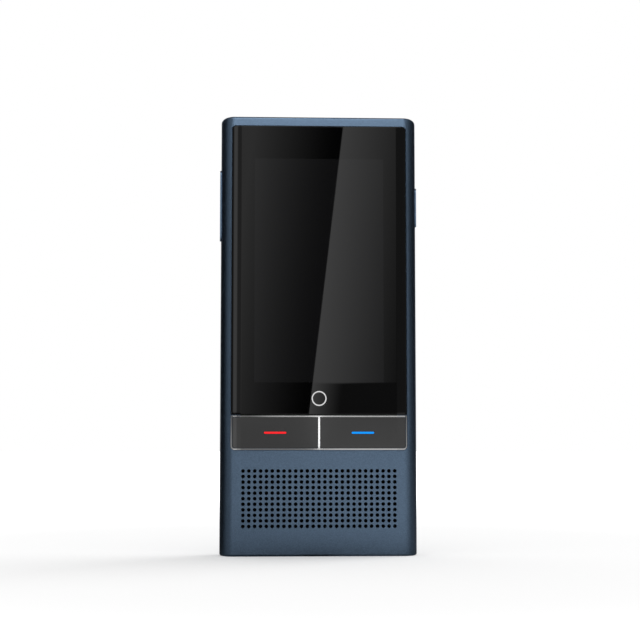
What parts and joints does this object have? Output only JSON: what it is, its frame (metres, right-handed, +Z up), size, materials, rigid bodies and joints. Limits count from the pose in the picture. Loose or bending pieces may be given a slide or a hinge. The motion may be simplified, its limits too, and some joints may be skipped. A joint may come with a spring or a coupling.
{
  "type": "handheld translator",
  "caption": "Slim upright handheld device with a tall touch screen, two push keys with coloured bars below it, a speaker grille, side keys and a rear camera in a curved back.",
  "frame": {"origin": "middle of the lower end, on the surface that the device stands on", "axes": "+Z up along the long side, -Y towards the display side, +X towards the power button on the right side"},
  "size_m": [0.0576, 0.0136, 0.127],
  "materials": {
    "blue_shell": "satin metallic blue paint",
    "black_glass": "glossy, printed black on its back",
    "clear_sheet": "clear",
    "dark_panel": "glossy dark",
    "white_plastic": "satin white",
    "black_gloss": "glossy black",
    "black_rubber": "matte",
    "black_foam": "matte",
    "dark_plastic": "satin",
    "silver": "polished silver",
    "steel": "satin",
    "red_light": "translucent red",
    "blue_light": "translucent blue",
    "green_board": "green solder mask",
    "amber_flex": "satin amber film",
    "battery_wrap": "silver-grey laminated foil",
    "coated_lens": "coated, purple sheen",
    "flash_yellow": "translucent yellow"
  },
  "bodies": {
    "body": {"front_housing": "blue_shell", "rear_cover": "blue_shell", "cover_glass": "black_glass", "camera_window": "black_glass", "touch_sensor": "clear_sheet", "display_panel": "dark_panel", "backlight_unit": "white_plastic", "left_key_led": "white_plastic", "right_key_led": "white_plastic", "microphone_boot": "black_rubber", "glass_tape": "black_foam", "speaker_mesh": "black_foam", "speaker_gasket": "black_foam", "key_trim": "silver", "camera_bezel": "silver", "usb_shell": "silver", "sim_reader": "silver", "processor_shield": "silver", "radio_shield": "silver", "microphone": "silver", "mid_frame": "steel", "frame_screw_1": "steel", "frame_screw_2": "steel", "frame_screw_3": "steel", "frame_screw_4": "steel", "key_board_screw_1": "steel", "key_board_screw_2": "steel", "lower_board_screw_1": "steel", "lower_board_screw_2": "steel", "left_key_dome": "steel", "right_key_dome": "steel", "power_bracket": "steel", "volume_bracket": "steel", "power_switch": "dark_plastic", "volume_up_switch": "dark_plastic", "volume_down_switch": "dark_plastic", "battery_socket": "dark_plastic", "camera_module": "dark_plastic", "speaker": "dark_plastic", "usb_tongue": "dark_plastic", "key_board": "green_board", "main_board": "green_board", "lower_board": "green_board", "display_flex": "amber_flex", "battery_flex": "amber_flex", "board_flex": "amber_flex", "antenna": "amber_flex", "battery": "battery_wrap", "camera_lens": "coated_lens", "flash_led": "flash_yellow", "flash_lens": "flash_yellow"},
    "left_key": {"left_key_cap": "black_gloss", "left_light_bar": "red_light", "left_key_pad": "black_rubber"},
    "right_key": {"right_key_cap": "black_gloss", "right_light_bar": "blue_light", "right_key_pad": "black_rubber"},
    "power_key": {"power_button": "blue_shell"},
    "volume_key": {"volume_rocker": "blue_shell"},
    "card_tray": {"sim_tray": "blue_shell"}
  },
  "joints": [
    {"name": "left_key_press", "type": "slide", "parent": "body", "child": "left_key", "axis": [0, 1, 0], "range_m": [0, 0.00025], "stiffness_N_per_m": 2000, "springref_m": -0.0002},
    {"name": "right_key_press", "type": "slide", "parent": "body", "child": "right_key", "axis": [0, 1, 0], "range_m": [0, 0.00025], "stiffness_N_per_m": 2000, "springref_m": -0.0002},
    {"name": "power_press", "type": "slide", "parent": "body", "child": "power_key", "axis": [-1, 0, 0], "range_m": [0, 0.00025], "stiffness_N_per_m": 1500, "springref_m": -0.0002},
    {"name": "volume_tip", "type": "hinge", "parent": "body", "child": "volume_key", "pos_m": [-0.0262, -0.0008, 0.10145], "axis": [0, 1, 0], "range_deg": [-1.2, 1.2], "stiffness_Nm_per_rad": 0.2},
    {"name": "tray_slide", "type": "slide", "parent": "body", "child": "card_tray", "axis": [0, 0, 1], "range_m": [0, 0.015]}
  ]
}
